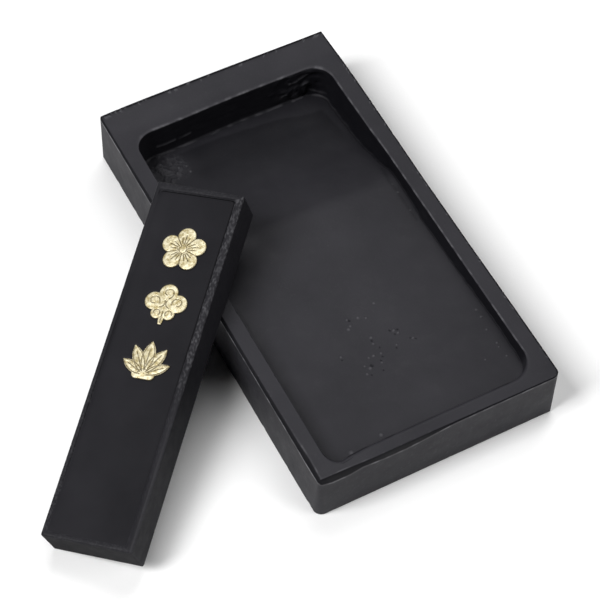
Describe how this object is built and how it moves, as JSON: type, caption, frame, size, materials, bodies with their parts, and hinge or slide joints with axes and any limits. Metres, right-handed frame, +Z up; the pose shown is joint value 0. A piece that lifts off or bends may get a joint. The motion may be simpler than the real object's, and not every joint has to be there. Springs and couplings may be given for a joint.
{
  "type": "ink stone",
  "caption": "Rectangular carved slate ink stone with a stepped-down ink well, and a pressed ink stick with gilt ornaments leaning on its rim.",
  "frame": {"origin": "centre of the stone's flat base", "axes": "+Z up out of the well, +Y along the stone towards the deep end of the well, +X to the right, away from the ink stick"},
  "size_m": [0.1357, 0.13, 0.0342],
  "materials": {
    "slate": "fine honed dark slate, duller and darker in the well where ink has dried",
    "pressed_ink": "moulded black ink, satin, with a polished raised border",
    "gilt": "soft worn pale gilding"
  },
  "bodies": {
    "stone": {"stone_slab": "slate"},
    "stick": {"ink_stick": "pressed_ink", "gilt_plum_blossom": "gilt", "gilt_cloud": "gilt", "gilt_lotus": "gilt"}
  },
  "joints": [
    {"name": "stick_lift", "type": "slide", "parent": "stone", "child": "stick", "axis": [0, 0, 1], "range_m": [0, 0.05]}
  ]
}
